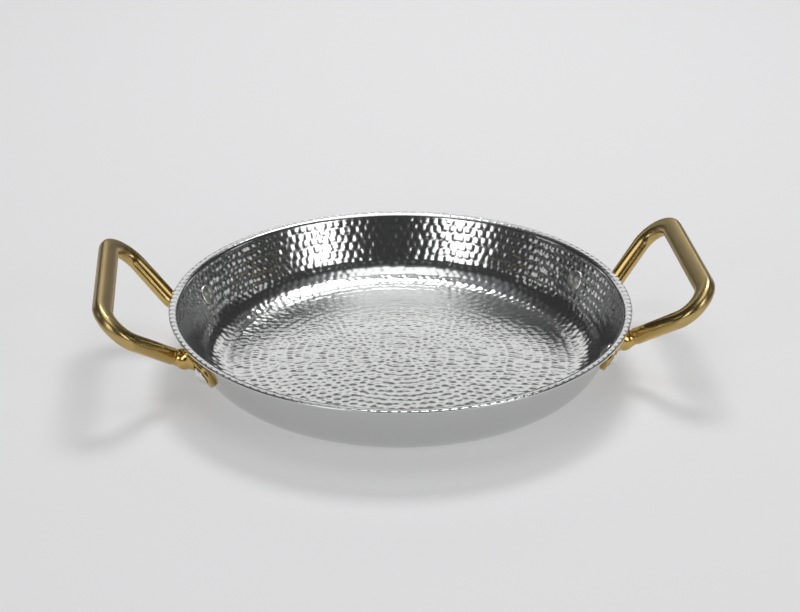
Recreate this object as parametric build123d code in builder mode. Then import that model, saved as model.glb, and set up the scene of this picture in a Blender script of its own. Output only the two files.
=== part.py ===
from build123d import *
import os
from math import asin, atan2, copysign, cos, degrees, pi, sin

# Round serving pan pressed from one sheet of steel, with two cast loop handles.
# Each handle stands on two pads that follow the wall, and one solid rivet clamps each pad.
# Frame: +Z up, origin at the centre of the flat base, +X towards the right handle. Millimetres.

# Pan
rim_radius = 120.0  # outer edge of the lip
pan_height = 34.0  # base to the top of the lip
base_radius = 101.0  # where the base plane would meet the outside of the wall
sheet = 1.5  # thickness of the pressed steel
base_bend = 20.0  # outside radius between base and wall
lip_width = 3.2  # how far the lip stands out from the wall
lip_bend = 1.2  # radius under the lip
lip_edge = 0.6  # rounding of the lip's outer edge

# Handle bar, given by the points of its centre line before the bends round them
root_spacing = 68.0  # between the two roots, where the bar meets the wall
root_drop = 13.0  # below the top of the lip
root_depth = 4.0  # how far the bar runs on inside the wall before it is trimmed
knee_spacing = 61.0  # between the two knees, where the legs turn in to their roots
knee_drop = 11.5  # below the top of the lip
knee_inset = 2.5  # inside the rim, seen from above
knee_bend = 9.0
grip_reach = 30.8  # beyond the rim
grip_rise = 18.8  # above the top of the lip
grip_length = 119.0
corner_bend = 13.0
knuckle_radius = 5.4  # ball at the end of each leg
knuckle_reach = 6.5  # from the wall to the middle of the ball

# Handle bar, given by its section: round legs, flattened grip
leg_diameter = 8.8
grip_width = 10.8
grip_thickness = 7.0
grip_roundness = 3.0  # power of the outline: 2 is an ellipse, more is squarer
outline_points = 24

# Pads and rivets
rivet_spacing = 89.0  # between the two rivets of a handle
rivet_drop = 13.8  # below the top of the lip
pad_radius = 8.2
pad_thickness = 2.6
pad_edge = 0.7
root_pad_radius = 6.6
seat_gap = 0.04  # between a pad and the wall
shank_radius = 3.0
shank_gap = 0.05
inner_head_radius = 5.6
inner_head_height = 1.9
outer_head_radius = 5.0
outer_head_height = 2.6
head_rim = 0.5  # upright edge of a head, below its dome
head_gap = 0.02

# The wall's outer face, as a straight line in the section
wall_top_radius = rim_radius - lip_width
wall_angle = atan2(pan_height - sheet, wall_top_radius - base_radius)


def wall_point(height, out):
    """Point of the section at that height of the wall's outer face, then moved square out from it."""
    along = height / sin(wall_angle)
    return (
        base_radius + along * cos(wall_angle) + out * sin(wall_angle),
        along * sin(wall_angle) - out * cos(wall_angle),
    )


rivet_height = pan_height - rivet_drop
rivet_radius = wall_point(rivet_height, 0)[0]
rivet_azimuth = degrees(asin(rivet_spacing / 2 / rivet_radius))


def foot_plane(azimuth):
    """Plane on the wall's outer face at a rivet: its normal points out, its X runs round the wall."""
    around = Vector(0, 1, 0).rotate(Axis.Z, azimuth)
    out = Vector(sin(wall_angle), 0, -cos(wall_angle)).rotate(Axis.Z, azimuth)
    origin = Vector(rivet_radius, 0, rivet_height).rotate(Axis.Z, azimuth)
    return Plane(origin=origin, x_dir=around, z_dir=out)


foot_planes = {
    "right_rear": foot_plane(rivet_azimuth),
    "right_front": foot_plane(-rivet_azimuth),
    "left_rear": foot_plane(180 - rivet_azimuth),
    "left_front": foot_plane(180 + rivet_azimuth),
}

# Pan body: one sheet, turned about the axis, with a hole for each rivet
with BuildPart() as pan_body:
    with BuildSketch(Plane.XZ) as body_section:
        with BuildLine():
            FilletPolyline(
                (0, 0),
                (base_radius, 0),
                (wall_top_radius, pan_height - sheet),
                (rim_radius, pan_height - sheet),
                radius=[base_bend, lip_bend],
            )
            offset(amount=sheet, side=Side.LEFT)
        make_face()
        fillet(body_section.vertices().group_by(Axis.X)[-1], radius=lip_edge)
    revolve(axis=Axis.Z)
    with BuildSketch(*foot_planes.values()):
        Circle(shank_radius + shank_gap)
    extrude(amount=3 * sheet, both=True, mode=Mode.SUBTRACT)
pan_body.part.label = "pan_body"

root_height = pan_height - root_drop
root_radius = wall_point(root_height, 0)[0]
root_azimuth = degrees(asin(root_spacing / 2 / root_radius))
skin_foot = rivet_height - 2 * pad_radius  # height of the pads' skin at its lower edge, below both pads


def make_pad(side):
    """Pad of the right handle, +1 rear or -1 front: a tapered outline cut from a skin that follows the wall."""
    plane = foot_plane(side * rivet_azimuth)
    root = plane.to_local_coords(Vector(root_radius, 0, root_height).rotate(Axis.Z, side * root_azimuth))
    with BuildPart() as pad:
        with BuildSketch(plane):
            Circle(pad_radius)
            with Locations((root.X, root.Y)):
                Circle(root_pad_radius)
            make_hull()
        extrude(amount=pad_radius, both=True)
        with BuildSketch(Plane.XZ):
            with BuildLine():
                Polyline(
                    wall_point(skin_foot, seat_gap),
                    wall_point(skin_foot, seat_gap + pad_thickness),
                    wall_point(pan_height, seat_gap + pad_thickness),
                    wall_point(pan_height, seat_gap),
                    close=True,
                )
            make_face()
        revolve(axis=Axis.Z, mode=Mode.INTERSECT)
        outer_face = pad.faces().sort_by(Axis(plane.origin, plane.z_dir))[-1]
        fillet(outer_face.edges(), radius=pad_edge)
    return pad.part


def rounded_outline(width, thickness, power):
    """Closed outline |x/a|^power + |y/b|^power = 1, as points at even angles."""
    points = []
    for step in range(outline_points):
        turn = 2 * pi * step / outline_points
        x, y = cos(turn), sin(turn)
        points.append(
            (
                width / 2 * copysign(abs(x) ** (2 / power), x),
                thickness / 2 * copysign(abs(y) ** (2 / power), y),
            )
        )
    return points


def make_bar(side):
    """Half of the right handle's bar, +1 rear or -1 front: flat grip, corner, leg that turns round, knee and root."""
    middle = Vector(rim_radius + grip_reach, 0, pan_height + grip_rise)
    corner = middle + Vector(0, side * grip_length / 2, 0)
    knee = Vector(rim_radius - knee_inset, side * knee_spacing / 2, pan_height - knee_drop)
    root = Vector(root_radius, 0, root_height).rotate(Axis.Z, side * root_azimuth)
    inward = (root - knee).normalized()
    with BuildLine() as centre_line:
        FilletPolyline(middle, corner, knee, root + inward * root_depth, radius=[corner_bend, knee_bend])
    grip_run, corner_arc, leg_run, knee_arc, root_run = centre_line.wire().order_edges()
    # square to the plane that holds the grip and the legs as far as their knees
    upward = Vector(0, side, 0).cross(knee - corner).normalized()

    def section_face(edge, share, width, thickness, power):
        along = edge % share
        with BuildSketch(Plane(origin=edge @ share, x_dir=upward.cross(along), z_dir=along)) as face:
            with BuildLine():
                Spline(*rounded_outline(width, thickness, power), periodic=True)
            make_face()
        return face.sketch

    def bend(arc):
        return Axis(arc.arc_center, (arc % 0).cross(arc % 1)), degrees(arc.length / arc.radius)

    grip_face = section_face(grip_run, 0, grip_width, grip_thickness, grip_roundness)
    corner_face = section_face(corner_arc, 0, grip_width, grip_thickness, grip_roundness)
    flat_face = section_face(leg_run, 0, grip_width, grip_thickness, grip_roundness)
    round_face = section_face(leg_run, 1, leg_diameter, leg_diameter, 2)
    knee_axis, knee_angle = bend(knee_arc)
    knuckle_share = 1 - (knuckle_reach + root_depth) / root_run.length
    with BuildPart() as bar:
        extrude(grip_face, amount=grip_run.length)
        revolve(corner_face, *bend(corner_arc))
        loft([flat_face, round_face], ruled=True)
        revolve(round_face, knee_axis, knee_angle)
        extrude(round_face.rotate(knee_axis, knee_angle), amount=root_run.length, dir=root_run % 0)
        with Locations(Plane(origin=root_run @ knuckle_share, z_dir=root_run % 0)):
            Sphere(knuckle_radius)
    return bar.part


def make_half(side):
    """Half of the right handle with its pad, cut to the wall's shape and drilled for its rivet."""
    with BuildPart() as half:
        add(make_bar(side))
        add(make_pad(side))
        with BuildSketch(Plane.XZ):
            with BuildLine():
                Polyline((0, 0), wall_point(0, seat_gap), wall_point(pan_height, seat_gap), (0, pan_height), close=True)
            make_face()
        revolve(axis=Axis.Z, mode=Mode.SUBTRACT)
        with BuildSketch(foot_plane(side * rivet_azimuth)):
            Circle(shank_radius + shank_gap)
        extrude(amount=pad_radius, both=True, mode=Mode.SUBTRACT)
    return half.part


# Right handle: its two halves meet in the middle of the grip
with BuildPart() as handle_right:
    add(make_half(1) + make_half(-1))
handle_right.part.label = "handle_right"

# The left handle is the same casting, turned half round
with BuildPart() as handle_left:
    add(handle_right.part.rotate(Axis.Z, 180))
handle_left.part.label = "handle_left"


def make_rivet(plane):
    """Solid rivet through wall and pad: a low dome inside the pan and a higher one outside."""
    hollow = inner_head_radius**2 / (2 * rivet_radius)  # rise of the curved wall under the inner head
    inner_seat = -sheet - head_gap - hollow
    outer_seat = seat_gap + pad_thickness + head_gap
    inner_apex = inner_seat - inner_head_height
    outer_apex = outer_seat + outer_head_height
    section = Plane(origin=plane.origin, x_dir=plane.x_dir, z_dir=plane.x_dir.cross(plane.z_dir))
    with BuildPart() as rivet:
        with BuildSketch(section):
            with BuildLine():
                TangentArc((0, inner_apex), (inner_head_radius, inner_seat - head_rim), tangent=(1, 0))
                Polyline(
                    (inner_head_radius, inner_seat - head_rim),
                    (inner_head_radius, inner_seat),
                    (shank_radius, inner_seat),
                    (shank_radius, outer_seat),
                    (outer_head_radius, outer_seat),
                    (outer_head_radius, outer_seat + head_rim),
                )
                TangentArc((0, outer_apex), (outer_head_radius, outer_seat + head_rim), tangent=(1, 0))
                Line((0, outer_apex), (0, inner_apex))
            make_face()
        revolve(axis=Axis(plane.origin, plane.z_dir))
    return rivet.part


os.makedirs("parts", exist_ok=True)
for place, plane in foot_planes.items():
    one_rivet = make_rivet(plane)
    one_rivet.label = f"rivet_{place}"
    export_step(one_rivet, f"parts/rivet_{place}.step")

export_step(pan_body.part, "parts/pan_body.step")
export_step(handle_right.part, "parts/handle_right.step")
export_step(handle_left.part, "parts/handle_left.step")
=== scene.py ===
from math import asin, atan2, cos, pi, radians, sin

import bpy
import numpy as np
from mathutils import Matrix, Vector


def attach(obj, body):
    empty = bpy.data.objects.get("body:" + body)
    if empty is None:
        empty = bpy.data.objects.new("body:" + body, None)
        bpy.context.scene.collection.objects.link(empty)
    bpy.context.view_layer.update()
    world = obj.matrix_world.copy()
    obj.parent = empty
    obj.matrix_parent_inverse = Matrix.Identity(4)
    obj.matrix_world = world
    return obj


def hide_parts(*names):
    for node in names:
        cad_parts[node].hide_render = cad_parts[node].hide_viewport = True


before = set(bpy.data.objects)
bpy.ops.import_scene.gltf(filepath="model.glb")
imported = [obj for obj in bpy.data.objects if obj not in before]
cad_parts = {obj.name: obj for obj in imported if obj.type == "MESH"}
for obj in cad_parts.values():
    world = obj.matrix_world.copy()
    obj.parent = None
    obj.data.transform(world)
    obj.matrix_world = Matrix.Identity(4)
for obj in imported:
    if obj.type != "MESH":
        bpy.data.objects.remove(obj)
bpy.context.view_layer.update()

# One millimetre in the frame's metres. The sizes of the pieces below are in millimetres.
MM = 0.001

# Pan, as in the part's source
RIM_RADIUS = 120.0  # outer edge of the lip
PAN_HEIGHT = 34.0
BASE_RADIUS = 101.0  # where the base plane would meet the outside of the wall
SHEET = 1.5
BASE_BEND = 20.0
LIP_WIDTH = 3.2
LIP_BEND = 1.2
LIP_EDGE = 0.6

# Handle bar, as in the part's source. Drops are below the top of the lip.
ROOT_SPACING = 68.0
ROOT_DROP = 13.0
KNEE_SPACING = 61.0
KNEE_DROP = 11.5
KNEE_INSET = 2.5
KNEE_BEND = 9.0
GRIP_REACH = 30.8
GRIP_RISE = 18.8
GRIP_LENGTH = 119.0
CORNER_BEND = 13.0
KNUCKLE_RADIUS = 5.4
KNUCKLE_REACH = 6.5
LEG_DIAMETER = 8.8
GRIP_WIDTH = 10.8
GRIP_THICKNESS = 7.0
GRIP_ROUNDNESS = 3.0  # power of the outline: 2 is an ellipse, more is squarer

# Pads and rivets, as in the part's source
RIVET_SPACING = 89.0
RIVET_DROP = 13.8
PAD_RADIUS = 8.2
PAD_THICKNESS = 2.6
ROOT_PAD_RADIUS = 6.6
SEAT_GAP = 0.04
SHANK_RADIUS = 3.0
INNER_HEAD_RADIUS = 5.6
INNER_HEAD_HEIGHT = 1.9
OUTER_HEAD_RADIUS = 5.0
OUTER_HEAD_HEIGHT = 2.6
HEAD_RIM = 0.5
HEAD_GAP = 0.02

# Handle bar, in the scene only
ROUND_RUN = 22.0  # length of bar from its root that stays round
EVEN_GRIP = 30.0  # either side of the grip's middle, how far it keeps its full shape
GROOVE_PLACE = 5.2  # beyond the middle of the knuckle
GROOVE_WIDTH = 0.8
GROOVE_DEPTH = 0.1  # as a share of the section's size
FLARE = 0.3  # how much the bar widens at the pad, as a share
FLARE_DROP = 0.2  # how far below the pad's top the flare starts to fade
FLARE_REACH = 0.9  # distance over which it fades
ROOT_SEAT = 0.8  # height over the wall below which the bar's skin is moved out along its root
ROOT_LEAN = 0.79  # the missing height is divided by this to give the move

# Pads and rivets, in the scene only
PAD_RINGS = (0.05, 0.35, 0.65, 0.9)  # rings on the flat of the pad, as shares of its width
PAD_EDGE = 0.9  # rounding of the pad's edge
PAD_FOOT = 0.05  # height of the pad's underside over the wall
PAD_FOOT_INSET = 0.3
RIM_INSET = 0.12  # step in from a head's rim to its dome
RIM_LIFT = 0.03  # step up over the same length
EDGE_BREAK = 0.1  # on the edges of a head's upright rim

# Hammer marks and the notches on the lip. Distances along the section start where a comment says.
ROW_PITCH = 4.5
MARK_PITCH = 4.4
FLOOR_MARK_DEPTH = 0.19
WALL_MARK_DEPTH = 0.28
DEPTH_CHANGE = (-8.0, 1.0)  # from the start of the wall: where the floor's depth gives way to the wall's
MARK_SLIP = 1.5  # spread of the marks' places
MARK_SHARPNESS = 4.5
MARK_POWER = 1.4  # of the squared distance from a mark's middle
MARK_FADING = 0.3  # most that a mark is faded at random
MARK_SPREAD = 1.3  # divides the logarithm that joins the marks
MARK_LIMIT = 1.2  # greatest depth, where 1 is the middle of a mark
BAND_RINGS = (0, 1, 2, 3, 5, 7, 10, 14, 19)  # first ring of each band on the floor
WALL_BAND = 24.0  # length of the wall's band
MARKS_END = 5.5  # before the lip's edge, where the marks stop
MARKS_FADE = 1.0  # either side of that place
LIP_MARKS = 158
NOTCH_DEPTH = 0.07
NOTCH_WIDTH = 0.45  # greatest |sin| that a notch takes in
NOTCH_START = (-4.2, -2.6)  # from the lip's edge
NOTCH_END = (0.6, 1.8)  # from the lip's edge
SEED = 7

# Spacing and counts of the meshes' points
INSIDE_STEP = 0.86
EDGE_STEP = 0.3
OUTSIDE_STEP = 1.6
INNER_RING_STEP = 0.9
LIP_RING_STEP = 0.55
OUTER_RING_STEP = 2.2
INNER_ZONE = 4.0  # beyond the lip's edge, how far the inner step goes on
LIP_ZONE = 4.5  # either side of the lip's edge
UNDER_ZONE = 60.0  # beyond the lip's edge, where the rings have half their points
LEAST_SIDES = 6
BAR_STEP = 0.6
BAR_SIDES = 56
PAD_SIDES = 96
EDGE_RINGS = 7
RIVET_SIDES = 48
DOME_POINTS = 12
LEAST_COSINE = 0.05  # keeps a division off zero

# Looks: linear colours, roughness, and scales of grain per metre
STEEL_COLOUR = (0.655, 0.665, 0.655)
STEEL_ROUGHNESS = 0.17
STEEL_GRAIN = 900.0
RIVET_COLOUR = (0.84, 0.84, 0.82)
RIVET_ROUGHNESS = 0.29
RIVET_GRAIN = 1200.0
ROUGHNESS_SPAN = (0.8, 1.25)  # least and most, as shares of a steel's roughness
BRASS_POLISHED = (0.60, 0.42, 0.15)
BRASS_SATIN = (0.50, 0.38, 0.18)
POLISHED_ROUGHNESS = 0.1
SATIN_ROUGHNESS = 0.3
BRASS_WEAR = 0.12  # most that wear adds to the roughness

# Floor and world, with lengths in metres
FLOOR_HALF = 6.0
FLOOR_COLOUR = (0.62, 0.62, 0.63)
FLOOR_ROUGHNESS = 0.7
FLOOR_LIFT = 0.3  # glow of the floor as the camera and reflections see it
SKY_BOTTOM = (0.3, 0.3, 0.31)
SKY_TOP = (0.5, 0.51, 0.53)
SKY_LEVELS = ((0.1, 0.14), (0.25, 0.07), (0.75, 0.07))  # height in the sky's ramp and its brightness
SKY_TINT = 1.03  # blue over red and green
SKY_STRENGTH = 0.6

# Camera and the lamps' target, with lengths in metres
ELEVATION = radians(25.7)
AZIMUTH = radians(-5.4)
DISTANCE = 1.0
CAMERA_TARGET = Vector((-0.00026, 0.0, 0.03095))
LENS = 86.4
SENSOR_WIDTH = 36
LAMP_TARGET = Vector((0, 0, 0.02))

WALL_TOP_RADIUS = RIM_RADIUS - LIP_WIDTH
WALL_ANGLE = atan2(PAN_HEIGHT - SHEET, WALL_TOP_RADIUS - BASE_RADIUS)


def wall_point(height, out):
    """Radius and height of the wall's outer face at a height, moved square out from the wall.

    The face is a straight line in the section, at the wall's angle from the base radius.
    """
    along = height / sin(WALL_ANGLE)
    return (
        BASE_RADIUS + along * cos(WALL_ANGLE) + out * sin(WALL_ANGLE),
        along * sin(WALL_ANGLE) - out * cos(WALL_ANGLE),
    )


ROOT_HEIGHT = PAN_HEIGHT - ROOT_DROP
ROOT_RADIUS = wall_point(ROOT_HEIGHT, 0)[0]
ROOT_TURN = asin(ROOT_SPACING / 2 / ROOT_RADIUS)
RIVET_HEIGHT = PAN_HEIGHT - RIVET_DROP
RIVET_RADIUS = wall_point(RIVET_HEIGHT, 0)[0]
RIVET_TURN = asin(RIVET_SPACING / 2 / RIVET_RADIUS)


def straight_run(start, end, step):
    """Points evenly about one step apart from start to end, without the start itself."""
    count = max(1, int(round(np.linalg.norm(end - start) / step)))
    share = np.arange(1, count + 1)[:, None] / count
    return start + (end - start) * share


def rounded_path(corners, radii, step):
    """Points about one step apart along straight runs joined by tangent arcs.

    Each inner corner is replaced by the arc of its radius that touches both runs:
    the arc starts radius * tan(turn / 2) before the corner, and its centre lies on the bisector.
    """
    corners = [np.array(c, float) for c in corners]
    points = [corners[0][None, :]]
    here = corners[0]
    for before, corner, after, radius in zip(corners, corners[1:], corners[2:], radii):
        inward = (corner - before) / np.linalg.norm(corner - before)
        onward = (after - corner) / np.linalg.norm(after - corner)
        turn = np.arccos(np.clip(inward @ onward, -1, 1))
        reach = radius * np.tan(turn / 2)
        start = corner - inward * reach
        points.append(straight_run(here, start, step))
        side = onward - inward * (inward @ onward)
        side /= np.linalg.norm(side)
        count = max(3, int(round(radius * turn / step)))
        angle = turn * np.arange(1, count + 1)[:, None] / count
        points.append(start + inward * radius * np.sin(angle) + side * radius * (1 - np.cos(angle)))
        here = corner + onward * reach
    points.append(straight_run(here, corners[-1], step))
    return np.concatenate(points)


def arc_lengths(points):
    """Distance along a line of points, from its first one."""
    return np.concatenate([[0], np.cumsum(np.linalg.norm(np.diff(points, axis=0), axis=1))])


def smooth(low, high, x):
    """0 below low and 1 above high, with the cubic 3t^2 - 2t^3 between them."""
    t = np.clip((x - low) / (high - low), 0, 1)
    return t * t * (3 - 2 * t)


def make_object(name, points, faces):
    """Smooth-shaded mesh object from points in millimetres and triangles, placed at the origin."""
    mesh = bpy.data.meshes.new(name)
    mesh.from_pydata((np.asarray(points) * MM).tolist(), [], np.asarray(faces).tolist())
    mesh.polygons.foreach_set("use_smooth", np.ones(len(mesh.polygons), bool))
    mesh.update()
    obj = bpy.data.objects.new(name, mesh)
    bpy.context.scene.collection.objects.link(obj)
    return obj


def add_values(obj, name, values):
    """One number per vertex, for the material to read."""
    layer = obj.data.attributes.new(name, "FLOAT", "POINT")
    layer.data.foreach_set("value", np.asarray(values, np.float32))


def stitch(first_a, count_a, first_b, count_b):
    """Triangles between two rings about the axis with their own counts of points.

    Each edge of the fuller ring is joined to the nearest point of the other ring,
    and a triangle fills in wherever that nearest point steps on by one.
    """
    swap = count_a > count_b
    if swap:
        first_a, count_a, first_b, count_b = first_b, count_b, first_a, count_a
    edge = np.arange(-1, count_b)
    near = np.floor((edge + 0.5) * count_a / count_b + 0.5).astype(int)
    j = edge[1:]
    here, last = near[1:], near[:-1]
    fans = np.stack([first_b + j, first_b + (j + 1) % count_b, first_a + here % count_a], axis=1)
    steps = here != last
    fill = np.stack([first_a + last % count_a, first_b + j, first_a + here % count_a], axis=1)[steps]
    triangles = np.concatenate([fans, fill])
    return triangles[:, ::-1] if swap else triangles


def tube_faces(rows, sides):
    """Triangles of a closed skin over rows of points, with one tip point for each end after the rows."""
    i, j = np.meshgrid(np.arange(rows - 1), np.arange(sides), indexing="ij")
    a, b = i * sides + j, i * sides + (j + 1) % sides
    quads = np.stack([a, b, b + sides, a + sides], axis=-1).reshape(-1, 4)
    j = np.arange(sides)
    after = (j + 1) % sides
    last = (rows - 1) * sides
    start = np.stack([np.full(sides, rows * sides), after, j], axis=1)
    end = np.stack([np.full(sides, rows * sides + 1), last + j, last + after], axis=1)
    return np.concatenate([quads[:, [0, 1, 2]], quads[:, [0, 2, 3]], start, end])


# Section of the pressed sheet: up the inside, over the lip and down the outside
inner_floor = (BASE_RADIUS + SHEET / np.tan(WALL_ANGLE) - SHEET / sin(WALL_ANGLE), SHEET)
inner_top = (BASE_RADIUS + PAN_HEIGHT / np.tan(WALL_ANGLE) - SHEET / sin(WALL_ANGLE), PAN_HEIGHT)
lip_top = (RIM_RADIUS - LIP_EDGE, PAN_HEIGHT)
lip_under = (RIM_RADIUS - LIP_EDGE, PAN_HEIGHT - SHEET)
inside = rounded_path(
    [(0, SHEET), inner_floor, inner_top, lip_top],
    [BASE_BEND - SHEET, LIP_BEND + SHEET],
    INSIDE_STEP,
)
edge = rounded_path(
    [lip_top, (RIM_RADIUS, PAN_HEIGHT), (RIM_RADIUS, PAN_HEIGHT - SHEET), lip_under],
    [LIP_EDGE, LIP_EDGE],
    EDGE_STEP,
)
outside = rounded_path(
    [lip_under, (WALL_TOP_RADIUS, PAN_HEIGHT - SHEET), (BASE_RADIUS, 0), (0, 0)],
    [LIP_BEND, BASE_BEND],
    OUTSIDE_STEP,
)
profile = np.concatenate([inside, edge[1:], outside[1:]])
s_all = arc_lengths(profile)
s_profile, r_profile = s_all[: len(inside)], inside[:, 0]

# Places along the section: the start of the wall, after the floor and the bend, and that of the lip's edge
floor_run = inner_floor[0] - (BASE_BEND - SHEET) * np.tan(WALL_ANGLE / 2)
wall_start = floor_run + (BASE_BEND - SHEET) * WALL_ANGLE
edge_start = arc_lengths(inside)[-1]


def hammer_marks(s, r, theta):
    """Depth of the hammer marks, about 1 in the middle of a mark and 0 on a ridge.

    Marks stand in rings a fixed distance apart along the section and evenly round each ring, then each
    is moved a little at random. The rings form bands with one count of marks each, the whole wall being
    one, and in a band every other ring stands half a mark round. Each mark is a shallow bowl, and the
    deepest bowl at a point wins, softly. With k the sharpness, d the distance from a mark's middle in
    half pitches and f the mark's random fading, the depth is
    1 + log(sum of exp(-k (d^2.8 + f)) over the nine marks round the point) / (1.3 k), kept in 0 to 1.2.
    """
    rng = np.random.default_rng(SEED)
    rings = np.arange(int(s.max() / ROW_PITCH) + 3)
    first = np.append(BAND_RINGS, int(wall_start / ROW_PITCH) + 1)
    last = np.append(first[1:] - 1, int((wall_start + WALL_BAND) / ROW_PITCH))
    band = np.searchsorted(first, rings, side="right") - 1
    radius = np.interp((first + last)[band] / 2 * ROW_PITCH, s_profile, r_profile)
    counts = np.maximum(1, np.round(2 * pi * radius / MARK_PITCH)).astype(int)
    phase = 0.5 * (rings % 2) + rng.random(len(first))[band]
    slip = (rng.random((len(rings), counts.max(), 2)) - 0.5) * MARK_SLIP
    fading = MARK_FADING * rng.random((len(rings), counts.max()))
    total = np.zeros_like(s)
    for step in (-1, 0, 1):
        ring = np.clip(np.round(s / ROW_PITCH).astype(int) + step, 0, len(rings) - 1)
        spacing = 2 * pi / counts[ring]
        middle = np.round(theta / spacing - phase[ring]).astype(int)
        for side in (-1, 0, 1):
            mark = (middle + side) % counts[ring]
            turn = (theta - (mark + phase[ring]) * spacing + pi) % (2 * pi) - pi
            across = r * turn - slip[ring, mark, 0]
            along = s - ring * ROW_PITCH - slip[ring, mark, 1]
            d2 = (across / (0.5 * MARK_PITCH)) ** 2 + (along / (0.5 * ROW_PITCH)) ** 2
            total += np.exp(-MARK_SHARPNESS * (d2**MARK_POWER + fading[ring, mark]))
    return np.clip(1 + np.log(total) / MARK_SHARPNESS / MARK_SPREAD, 0, MARK_LIMIT)


def make_pan():
    """Pressed pan as rings of points about the axis, with a single point at each pole.

    Radius and height come from the section. Each point then sinks square into the sheet: on the inside by
    the hammer marks' depth, and on top of the lip by notches, which lie where |sin(n theta / 2)| is small.
    """
    step = np.where(s_all < edge_start + INNER_ZONE, INNER_RING_STEP, OUTER_RING_STEP)
    step = np.where(np.abs(s_all - edge_start) < LIP_ZONE, LIP_RING_STEP, step)
    counts = np.maximum(LEAST_SIDES, np.round(2 * pi * profile[:, 0] / step)).astype(int)
    under = s_all > edge_start + UNDER_ZONE
    counts[under] = np.maximum(LEAST_SIDES, counts[under] // 2)
    counts[0] = counts[-1] = 1
    starts = np.concatenate([[0], np.cumsum(counts)])
    ring = np.repeat(np.arange(len(profile)), counts)
    place = np.arange(starts[-1]) - starts[ring]
    theta = 2 * pi * place / counts[ring]
    r, z, s = profile[ring, 0], profile[ring, 1], s_all[ring]
    along = np.gradient(profile, axis=0)
    along /= np.linalg.norm(along, axis=1)[:, None]
    normal = np.stack([-along[:, 1], along[:, 0]], axis=1)[ring]

    on_wall = smooth(wall_start + DEPTH_CHANGE[0], wall_start + DEPTH_CHANGE[1], s)
    sink = FLOOR_MARK_DEPTH + (WALL_MARK_DEPTH - FLOOR_MARK_DEPTH) * on_wall
    marks_end = edge_start - MARKS_END
    sink *= hammer_marks(s, r, theta) * (1 - smooth(marks_end - MARKS_FADE, marks_end + MARKS_FADE, s))
    on_lip = smooth(edge_start + NOTCH_START[0], edge_start + NOTCH_START[1], s)
    on_lip *= 1 - smooth(edge_start + NOTCH_END[0], edge_start + NOTCH_END[1], s)
    notch = np.abs(np.sin(theta * LIP_MARKS / 2))
    sink += NOTCH_DEPTH * on_lip * (1 - smooth(0.0, NOTCH_WIDTH, notch))
    r = r - normal[:, 0] * sink
    z = z - normal[:, 1] * sink
    points = np.stack([r * np.cos(theta), r * np.sin(theta), z], axis=1)

    faces = [stitch(starts[i], counts[i], starts[i + 1], counts[i + 1]) for i in range(1, len(profile) - 2)]
    j = np.arange(counts[1])
    after = (j + 1) % counts[1]
    faces.append(np.stack([np.zeros_like(j), starts[1] + j, starts[1] + after], axis=1))
    j = np.arange(counts[-2])
    after = (j + 1) % counts[-2]
    faces.append(np.stack([starts[-3] + after, np.full_like(j, starts[-2]), starts[-3] + j], axis=1))
    return make_object("hammered_pan", points, np.concatenate(faces))


def superellipse(width, thickness, power, turn):
    """Points x = a sgn(cos) |cos|^(2/p), y = b sgn(sin) |sin|^(2/p) of an outline, one row per section."""
    c, s = np.cos(turn)[None, :], np.sin(turn)[None, :]
    x = width[:, None] / 2 * np.sign(c) * np.abs(c) ** (2 / power[:, None])
    y = thickness[:, None] / 2 * np.sign(s) * np.abs(s) ** (2 / power[:, None])
    return x, y


def height_over_wall(points):
    """Distance of each point outside the wall's outer cone, measured square to it.

    It is the radius beyond the base radius times the sine of the wall's angle, less the height times
    its cosine.
    """
    r = np.hypot(points[:, 0], points[:, 1])
    return (r - BASE_RADIUS) * sin(WALL_ANGLE) - points[:, 2] * cos(WALL_ANGLE)


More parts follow.
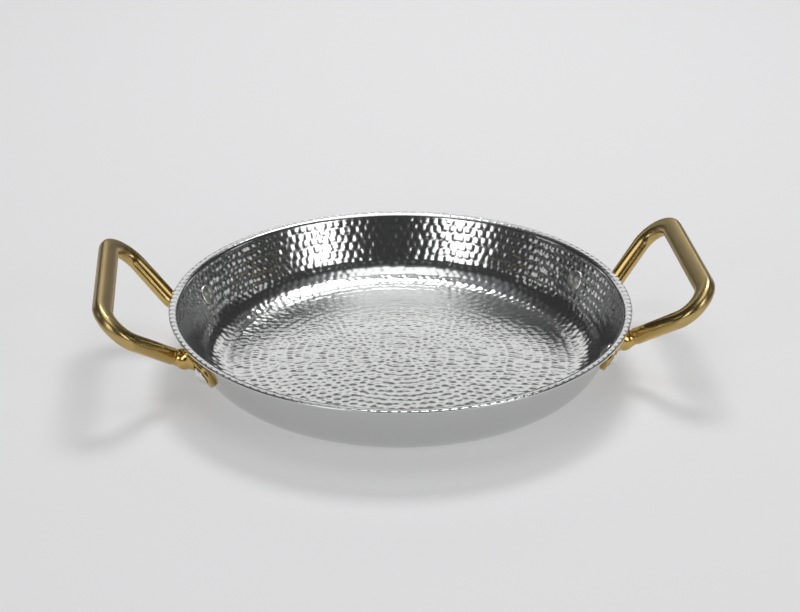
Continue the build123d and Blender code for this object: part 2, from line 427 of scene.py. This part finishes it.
def make_bar():
    """Bar of one handle as sections along its centre line, which lies on straight runs and arcs.

    The section goes from round at the legs to a flat rounded outline at the grip. It swells to the ball
    at each root, 2 sqrt(R^2 - x^2) across at x from its middle, with a groove 1 - g exp(-(x / w)^2)
    beyond it, and flares by 1 + f exp(-h / reach), with h the height over where the flare starts to fade.
    Points too near the wall move out along the root. The last value is how flat each point's section is.
    """
    root = np.array([ROOT_RADIUS * cos(ROOT_TURN), ROOT_RADIUS * sin(ROOT_TURN), ROOT_HEIGHT])
    knee = np.array([RIM_RADIUS - KNEE_INSET, KNEE_SPACING / 2, PAN_HEIGHT - KNEE_DROP])
    corner = np.array([RIM_RADIUS + GRIP_REACH, GRIP_LENGTH / 2, PAN_HEIGHT + GRIP_RISE])
    front = np.array([1, -1, 1])
    line = rounded_path(
        [root * front, knee * front, corner * front, corner, knee, root],
        [KNEE_BEND, CORNER_BEND, CORNER_BEND, KNEE_BEND],
        BAR_STEP,
    )
    s = arc_lengths(line)
    total = s[-1]
    near = np.minimum(s, total - s)
    tangent = np.gradient(line, axis=0)
    tangent /= np.linalg.norm(tangent, axis=1)[:, None]
    up = np.cross([0, 1, 0], knee - corner)
    up /= np.linalg.norm(up)
    across = np.cross(up, tangent)
    across /= np.linalg.norm(across, axis=1)[:, None]
    normal = np.cross(tangent, across)

    flat = smooth(ROUND_RUN, total / 2 - EVEN_GRIP, near)
    width = LEG_DIAMETER + (GRIP_WIDTH - LEG_DIAMETER) * flat
    thick = LEG_DIAMETER + (GRIP_THICKNESS - LEG_DIAMETER) * flat
    power = 2 + (GRIP_ROUNDNESS - 2) * flat
    ball = 2 * np.sqrt(np.clip(KNUCKLE_RADIUS**2 - (near - KNUCKLE_REACH) ** 2, 0, None))
    from_groove = near - KNUCKLE_REACH - GROOVE_PLACE
    groove = 1 - GROOVE_DEPTH * np.exp(-((from_groove / GROOVE_WIDTH) ** 2))
    width, thick = np.maximum(width * groove, ball), np.maximum(thick * groove, ball)
    angle = 2 * pi * np.arange(BAR_SIDES) / BAR_SIDES
    x, y = superellipse(width, thick, power, angle)

    middle = np.repeat(line, BAR_SIDES, axis=0)
    spread = (x[:, :, None] * across[:, None, :] + y[:, :, None] * normal[:, None, :]).reshape(-1, 3)
    over_pad = np.clip(height_over_wall(middle + spread) - PAD_THICKNESS + FLARE_DROP, 0, None)
    spread *= 1 + FLARE * np.exp(-over_pad / FLARE_REACH)[:, None]
    points = middle + spread
    way = (knee - root) / np.linalg.norm(knee - root) * np.where(points[:, 1:2] > 0, 1, front)
    lift = np.clip(ROOT_SEAT - height_over_wall(points), 0, None)
    points = points + way * (lift / ROOT_LEAN)[:, None]
    tips = np.stack([points[:BAR_SIDES].mean(0), points[-BAR_SIDES:].mean(0)])
    grip = np.concatenate([np.repeat(flat, BAR_SIDES), [0, 0]])
    return np.concatenate([points, tips]), tube_faces(len(line), BAR_SIDES), grip


def pad_outline(angle, far, radius, near_radius):
    """Distance from the rivet to the pad's edge in each direction: the outline round two circles.

    Between the directions where the tangent lines touch the circles it is radius / cos(angle from the
    touching point). Elsewhere it is the larger of the two circles' reach, which for the far one is
    d cos(a) + sqrt(r^2 - (d sin(a))^2).
    """
    distance = np.hypot(*far)
    heading = atan2(far[1], far[0])
    a = (angle - heading + pi) % (2 * pi) - pi
    small = np.abs(distance * np.sin(a)) <= near_radius
    root = np.sqrt(np.clip(near_radius**2 - (distance * np.sin(a)) ** 2, 0, None))
    reach_far = np.where(small & (np.cos(a) > 0), distance * np.cos(a) + root, 0)
    lean = asin((radius - near_radius) / distance)
    touch_a = pi / 2 - lean
    line = radius / np.clip(np.cos(np.abs(a) - touch_a), LEAST_COSINE, None)
    low = atan2(near_radius * sin(touch_a), distance + near_radius * cos(touch_a))
    on_line = (np.abs(a) < touch_a) & (np.abs(a) > low)
    return np.where(on_line, line, np.maximum(reach_far, radius))


def make_pad(side):
    """Pad of a handle, +1 rear or -1 front: rings between the rivet and the outline, on the wall's cone.

    The height over the wall is full in the middle and falls round the edge as a quarter circle. A point's
    turn about the axis is its distance round the wall divided by the wall's radius at the rivet.
    """
    far_height = (ROOT_HEIGHT - RIVET_HEIGHT) / sin(WALL_ANGLE)
    far = np.array([(ROOT_TURN - RIVET_TURN) * RIVET_RADIUS, far_height])
    angle = 2 * pi * np.arange(PAD_SIDES) / PAD_SIDES
    reach = pad_outline(angle, far, PAD_RADIUS, ROOT_PAD_RADIUS)
    flat = np.ones(len(PAD_RINGS))
    bend = np.linspace(0, pi / 2, EDGE_RINGS)
    share = np.concatenate([PAD_RINGS, np.ones(EDGE_RINGS + 2)])
    inset = np.concatenate([PAD_EDGE * flat, PAD_EDGE * (1 - np.sin(bend)), [0, PAD_FOOT_INSET]])
    edge_height = PAD_THICKNESS - PAD_EDGE * (1 - np.cos(bend))
    height = np.concatenate([PAD_THICKNESS * flat, edge_height, [PAD_FOOT, PAD_FOOT]])

    radius = share[:, None] * (reach[None, :] - inset[:, None])
    around = radius * np.cos(angle)[None, :]
    upward = radius * np.sin(angle)[None, :]
    out = np.broadcast_to(height[:, None], around.shape)
    turn = RIVET_TURN + around / RIVET_RADIUS
    level = RIVET_HEIGHT + upward * sin(WALL_ANGLE)
    r = BASE_RADIUS + level / np.tan(WALL_ANGLE) + out * sin(WALL_ANGLE)
    z = level - out * cos(WALL_ANGLE)
    points = np.stack([r * np.cos(turn), side * r * np.sin(turn), z], axis=-1).reshape(-1, 3)
    tips = np.stack([points[:PAD_SIDES].mean(0), points[-PAD_SIDES:].mean(0)])
    faces = tube_faces(len(height), PAD_SIDES)
    return np.concatenate([points, tips]), (faces if side < 0 else faces[:, ::-1])


def make_handle(name, turned):
    """One handle: its bar and two pads as closed skins in one piece, turned half round for the left one."""
    bar, bar_faces, grip = make_bar()
    points, faces = [bar], [bar_faces]
    count = len(bar)
    for side in (1, -1):
        pad, pad_faces = make_pad(side)
        points.append(pad)
        faces.append(pad_faces + count)
        count += len(pad)
    points = np.concatenate(points)
    if turned:
        points = points * np.array([-1, -1, 1])
    obj = make_object(name, points, np.concatenate(faces))
    rest = np.zeros(count - len(bar))
    add_values(obj, "grip", np.concatenate([grip, rest]))
    return obj


def head_outline(radius, rise, seat, way):
    """Radius and place along the normal of a rivet head, from its tip to its seat.

    The dome is an arc of radius (r^2 + h^2) / 2h, where h is its rise over the upright rim. The rim
    follows, with its edges broken.
    """
    dome = rise - HEAD_RIM
    rho = (radius**2 + dome**2) / (2 * dome)
    a = np.linspace(0, asin(radius / rho), DOME_POINTS)
    r = rho * np.sin(a)
    h = seat + way * (rise - rho * (1 - np.cos(a)))
    rim_r = [radius - RIM_INSET, radius, radius, radius - EDGE_BREAK]
    rim_h = [h[-1] + way * RIM_LIFT, h[-1] - way * EDGE_BREAK, seat + way * EDGE_BREAK, seat]
    return np.stack([np.concatenate([r[:-1], rim_r]), np.concatenate([h[:-1], rim_h])], axis=1)


def make_rivet(name, azimuth):
    """Rivet turned about the wall's normal: its inner head, its shank and its outer head."""
    hollow = INNER_HEAD_RADIUS**2 / (2 * RIVET_RADIUS)
    inner, outer = -SHEET - HEAD_GAP - hollow, SEAT_GAP + PAD_THICKNESS + HEAD_GAP
    low = head_outline(INNER_HEAD_RADIUS, INNER_HEAD_HEIGHT, inner, -1)
    high = head_outline(OUTER_HEAD_RADIUS, OUTER_HEAD_HEIGHT, outer, 1)
    line = np.concatenate([low, [[SHANK_RADIUS, inner], [SHANK_RADIUS, outer]], high[::-1]])

    out = np.array([sin(WALL_ANGLE) * cos(azimuth), sin(WALL_ANGLE) * sin(azimuth), -cos(WALL_ANGLE)])
    around = np.array([-sin(azimuth), cos(azimuth), 0])
    upward = np.cross(out, around)
    origin = np.array([RIVET_RADIUS * cos(azimuth), RIVET_RADIUS * sin(azimuth), RIVET_HEIGHT])
    angle = 2 * pi * np.arange(RIVET_SIDES) / RIVET_SIDES
    circle = np.cos(angle)[:, None] * around + np.sin(angle)[:, None] * upward
    body = line[1:-1]
    points = (origin + body[:, 1, None, None] * out + body[:, 0, None, None] * circle).reshape(-1, 3)
    tips = np.stack([origin + line[0, 1] * out, origin + line[-1, 1] * out])
    return make_object(name, np.concatenate([points, tips]), tube_faces(len(body), RIVET_SIDES))


def new_material(name):
    """A new node material, with its node tree and its shader."""
    material = bpy.data.materials.new(name)
    material.use_nodes = True
    tree = material.node_tree
    return material, tree, tree.nodes["Principled BSDF"]


def node(tree, kind, **inputs):
    """A node of that kind with the given numbers on its inputs."""
    made = tree.nodes.new(kind)
    for key, value in inputs.items():
        made.inputs[key.replace("_", " ")].default_value = value
    return made


def steel_material(name, colour, roughness, grain_scale):
    """Steel: fine grain in the roughness and a faint unevenness in the normal, from object coordinates."""
    material, tree, shader = new_material(name)
    shader.inputs["Metallic"].default_value = 1.0
    shader.inputs["Base Color"].default_value = (*colour, 1)
    place = tree.nodes.new("ShaderNodeTexCoord")
    grain = node(tree, "ShaderNodeTexNoise", Scale=grain_scale, Detail=4.0, Roughness=0.6)
    tree.links.new(place.outputs["Object"], grain.inputs["Vector"])
    least, most = ROUGHNESS_SPAN
    span = node(tree, "ShaderNodeMapRange", To_Min=roughness * least, To_Max=roughness * most)
    tree.links.new(grain.outputs["Fac"], span.inputs["Value"])
    tree.links.new(span.outputs["Result"], shader.inputs["Roughness"])
    bump = node(tree, "ShaderNodeBump", Strength=0.08, Distance=0.0002)
    tree.links.new(grain.outputs["Fac"], bump.inputs["Height"])
    tree.links.new(bump.outputs["Normal"], shader.inputs["Normal"])
    return material


def brass_material():
    """Brass: polished legs and a satin grip, mixed by the grip attribute, with wear and cast unevenness."""
    material, tree, shader = new_material("brass_cast")
    shader.inputs["Metallic"].default_value = 1.0
    place = tree.nodes.new("ShaderNodeTexCoord")
    grip = tree.nodes.new("ShaderNodeAttribute")
    grip.attribute_name = "grip"
    wave = node(tree, "ShaderNodeTexNoise", Scale=60.0, Detail=3.0, Roughness=0.5)
    fine = node(tree, "ShaderNodeTexNoise", Scale=1500.0, Detail=3.0, Roughness=0.6)
    for texture in (wave, fine):
        tree.links.new(place.outputs["Object"], texture.inputs["Vector"])
    colour = tree.nodes.new("ShaderNodeMix")
    colour.data_type = "RGBA"
    colour.inputs["A"].default_value = (*BRASS_POLISHED, 1)
    colour.inputs["B"].default_value = (*BRASS_SATIN, 1)
    tree.links.new(grip.outputs["Fac"], colour.inputs["Factor"])
    tree.links.new(colour.outputs["Result"], shader.inputs["Base Color"])
    rough = tree.nodes.new("ShaderNodeMix")
    rough.inputs["A"].default_value = POLISHED_ROUGHNESS
    rough.inputs["B"].default_value = SATIN_ROUGHNESS
    tree.links.new(grip.outputs["Fac"], rough.inputs["Factor"])
    vary = node(tree, "ShaderNodeMath")
    vary.operation = "MULTIPLY_ADD"
    vary.inputs[1].default_value = BRASS_WEAR
    tree.links.new(wave.outputs["Fac"], vary.inputs[0])
    tree.links.new(rough.outputs["Result"], vary.inputs[2])
    tree.links.new(vary.outputs["Value"], shader.inputs["Roughness"])
    uneven = node(tree, "ShaderNodeBump", Strength=0.12, Distance=0.0006)
    tree.links.new(wave.outputs["Fac"], uneven.inputs["Height"])
    satin = node(tree, "ShaderNodeBump", Strength=0.15, Distance=0.0001)
    tree.links.new(fine.outputs["Fac"], satin.inputs["Height"])
    tree.links.new(uneven.outputs["Normal"], satin.inputs["Normal"])
    tree.links.new(satin.outputs["Normal"], shader.inputs["Normal"])
    return material


def floor_material():
    """Pale matt floor, with a glow of lift * max(is camera ray, is glossy ray) that lights nothing else."""
    material, tree, shader = new_material("floor_pale")
    shader.inputs["Base Color"].default_value = (*FLOOR_COLOUR, 1)
    shader.inputs["Roughness"].default_value = FLOOR_ROUGHNESS
    rays = tree.nodes.new("ShaderNodeLightPath")
    seen = tree.nodes.new("ShaderNodeMath")
    seen.operation = "MAXIMUM"
    tree.links.new(rays.outputs["Is Camera Ray"], seen.inputs[0])
    tree.links.new(rays.outputs["Is Glossy Ray"], seen.inputs[1])
    lift = tree.nodes.new("ShaderNodeMath")
    lift.operation = "MULTIPLY"
    lift.inputs[1].default_value = FLOOR_LIFT
    tree.links.new(seen.outputs["Value"], lift.inputs[0])
    shader.inputs["Emission Color"].default_value = (1.0, 1.0, 1.0, 1)
    tree.links.new(lift.outputs["Value"], shader.inputs["Emission Strength"])
    return material


pan = make_pan()
pan.data.materials.append(steel_material("steel_hammered", STEEL_COLOUR, STEEL_ROUGHNESS, STEEL_GRAIN))
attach(pan, "root")
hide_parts("pan_body")

brass = brass_material()
for side, turned in (("right", False), ("left", True)):
    handle = make_handle(f"loop_handle_{side}", turned)
    handle.data.materials.append(brass)
    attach(handle, "root")
    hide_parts(f"handle_{side}")

rivet_steel = steel_material("steel_rivet", RIVET_COLOUR, RIVET_ROUGHNESS, RIVET_GRAIN)
rivet_places = {
    "right_rear": RIVET_TURN,
    "right_front": -RIVET_TURN,
    "left_rear": pi - RIVET_TURN,
    "left_front": pi + RIVET_TURN,
}
for place, azimuth in rivet_places.items():
    rivet = make_rivet(f"domed_rivet_{place}", azimuth)
    rivet.data.materials.append(rivet_steel)
    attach(rivet, "root")
    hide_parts(f"rivet_{place}")

# Floor
floor_corners = [(x * FLOOR_HALF, y * FLOOR_HALF, 0) for x, y in ((-1, -1), (1, -1), (1, 1), (-1, 1))]
floor_mesh = bpy.data.meshes.new("floor")
floor_mesh.from_pydata(floor_corners, [], [(0, 1, 2, 3)])
floor = bpy.data.objects.new("floor", floor_mesh)
bpy.context.scene.collection.objects.link(floor)
floor.data.materials.append(floor_material())

# World: a dim sky, brighter below the horizon and at the top, so that the steel has something to reflect
world = bpy.data.worlds.new("studio")
bpy.context.scene.world = world
world.use_nodes = True
sky = world.node_tree
background = sky.nodes["Background"]
direction = sky.nodes.new("ShaderNodeTexCoord")
split = sky.nodes.new("ShaderNodeSeparateXYZ")
sky.links.new(direction.outputs["Generated"], split.inputs["Vector"])
ramp = sky.nodes.new("ShaderNodeValToRGB")
ramp.color_ramp.elements[0].position = 0.0
ramp.color_ramp.elements[0].color = (*SKY_BOTTOM, 1)
ramp.color_ramp.elements[1].position = 1.0
ramp.color_ramp.elements[1].color = (*SKY_TOP, 1)
for position, level in SKY_LEVELS:
    stop = ramp.color_ramp.elements.new(position)
    stop.color = (level, level, level * SKY_TINT, 1)
sky.links.new(split.outputs["Z"], ramp.inputs["Fac"])
sky.links.new(ramp.outputs["Color"], background.inputs["Color"])
background.inputs["Strength"].default_value = SKY_STRENGTH


def aim(obj, place, way):
    """Put an object at a place in metres, looking along a direction with its top up."""
    obj.location = place
    obj.rotation_mode = "QUATERNION"
    obj.rotation_quaternion = way.to_track_quat("-Z", "Y")
    bpy.context.scene.collection.objects.link(obj)


def lamp(name, place, size, power):
    """Soft rectangular lamp at a place, facing the pan: lengths in metres, power in watts."""
    data = bpy.data.lights.new(name, "AREA")
    data.shape = "RECTANGLE"
    data.size, data.size_y = size
    data.energy = power
    aim(bpy.data.objects.new(name, data), place, LAMP_TARGET - Vector(place))


lamp("lamp_back", (0.05, 1.2, 0.6), (1.25, 0.26), 1.1)
lamp("lamp_key", (0.2, 0.75, 1.25), (0.5, 0.4), 8.0)
lamp("lamp_top", (0.0, -0.1, 1.4), (0.9, 0.7), 2.6)
lamp("lamp_front_left", (-0.82, -0.98, 0.6), (0.5, 0.6), 2.6)
lamp("lamp_front_right", (0.87, -0.96, 0.6), (0.5, 0.6), 2.9)
lamp("lamp_side_left", (-1.25, 0.1, 0.6), (0.3, 0.3), 0.25)
lamp("lamp_side_right", (1.25, 0.1, 0.6), (0.3, 0.3), 0.25)
lamp("lamp_low_left", (-0.95, 0.95, 0.24), (0.22, 0.14), 0.13)
lamp("lamp_low_right", (0.95, 0.95, 0.24), (0.22, 0.14), 0.13)

# Camera
back = Vector((sin(AZIMUTH) * cos(ELEVATION), -cos(AZIMUTH) * cos(ELEVATION), sin(ELEVATION)))
camera_data = bpy.data.cameras.new("camera")
camera_data.lens = LENS
camera_data.sensor_width = SENSOR_WIDTH
camera = bpy.data.objects.new("camera", camera_data)
aim(camera, CAMERA_TARGET + back * DISTANCE, -back)
bpy.context.scene.camera = camera
bpy.context.scene.view_settings.view_transform = "Standard"
